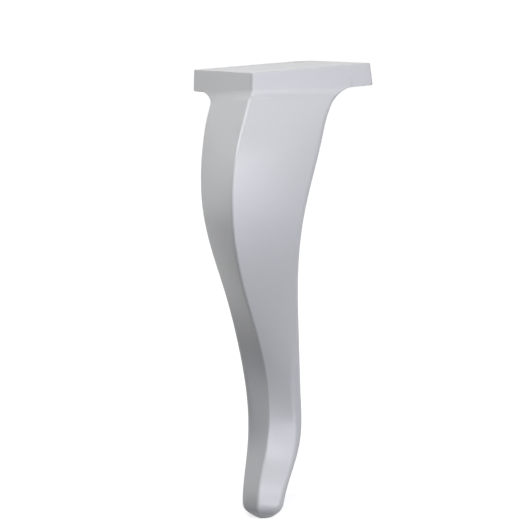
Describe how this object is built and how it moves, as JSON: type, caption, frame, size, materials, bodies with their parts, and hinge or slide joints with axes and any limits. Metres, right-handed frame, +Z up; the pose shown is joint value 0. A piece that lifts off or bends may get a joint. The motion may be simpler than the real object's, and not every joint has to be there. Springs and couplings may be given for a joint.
{
  "type": "sofa leg",
  "caption": "Short cabriole sofa leg in satin silver plastic: a square screw plate over a curved leg with a front ridge, a full knee, a thin ankle and a rounded toe.",
  "frame": {"origin": "centre of the mounting plate's top face", "axes": "+Z up out of the plate's top face, into the sofa's frame; the leg reaches out along -X -Y, over the plate's front corner, and down"},
  "size_m": [0.0802, 0.0802, 0.18],
  "materials": {
    "silver_plastic": "satin silver lacquer"
  },
  "bodies": {
    "root": {"leg": "silver_plastic"}
  },
  "joints": []
}
